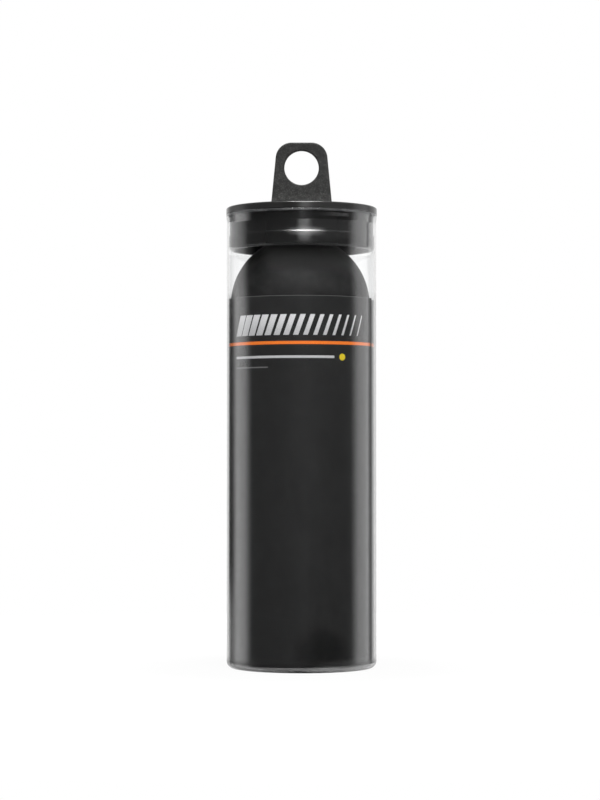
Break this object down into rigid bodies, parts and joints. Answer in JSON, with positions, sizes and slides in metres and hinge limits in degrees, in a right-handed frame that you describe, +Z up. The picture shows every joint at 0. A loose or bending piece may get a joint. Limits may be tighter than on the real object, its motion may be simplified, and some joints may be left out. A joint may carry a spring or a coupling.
{
  "type": "squash ball tube",
  "caption": "Clear cylindrical ball tube with a plug cap and upright hang tab, a rolled dark label inside, and hollow two-part rubber squash balls stacked in it.",
  "frame": {"origin": "centre of the foot ring, on the surface that the tube stands on", "axes": "+Z runs up the axis of the tube to the hang tab, -Y is the front that the printed side of the label faces, and +Y is the way through the hang hole"},
  "size_m": [0.0434, 0.0434, 0.151],
  "materials": {
    "clear_tube": "clear, highly polished",
    "label_film": "printed film, satin, seen through the clear wall",
    "cap_plastic": "fine grained moulding",
    "ball_rubber": "buffed matt rubber",
    "bond_rubber": "cured rubber solution"
  },
  "bodies": {
    "tube_body": {"tube": "clear_tube", "label": "label_film"},
    "cap_body": {"cap": "cap_plastic"},
    "top_ball": {"top_ball_upper_shell": "ball_rubber", "top_ball_bond": "bond_rubber", "top_ball_lower_shell": "ball_rubber"},
    "middle_ball": {"middle_ball_upper_shell": "ball_rubber", "middle_ball_bond": "bond_rubber", "middle_ball_lower_shell": "ball_rubber"},
    "bottom_ball": {"bottom_ball_upper_shell": "ball_rubber", "bottom_ball_bond": "bond_rubber", "bottom_ball_lower_shell": "ball_rubber"}
  },
  "joints": [
    {"name": "cap_pull", "type": "slide", "parent": "tube_body", "child": "cap_body", "axis": [0, 0, 1], "range_m": [0, 0.03]},
    {"name": "top_ball_slide", "type": "slide", "parent": "tube_body", "child": "top_ball", "axis": [0, 0, 1], "range_m": [0, 0.0057]},
    {"name": "middle_ball_slide", "type": "slide", "parent": "tube_body", "child": "middle_ball", "axis": [0, 0, 1], "range_m": [0, 0.0057]},
    {"name": "bottom_ball_slide", "type": "slide", "parent": "tube_body", "child": "bottom_ball", "axis": [0, 0, 1], "range_m": [0, 0.0057]}
  ],
  "couplings": [
    {"joint": "middle_ball_slide", "follows": "top_ball_slide", "ratio": 1},
    {"joint": "bottom_ball_slide", "follows": "top_ball_slide", "ratio": 1}
  ]
}
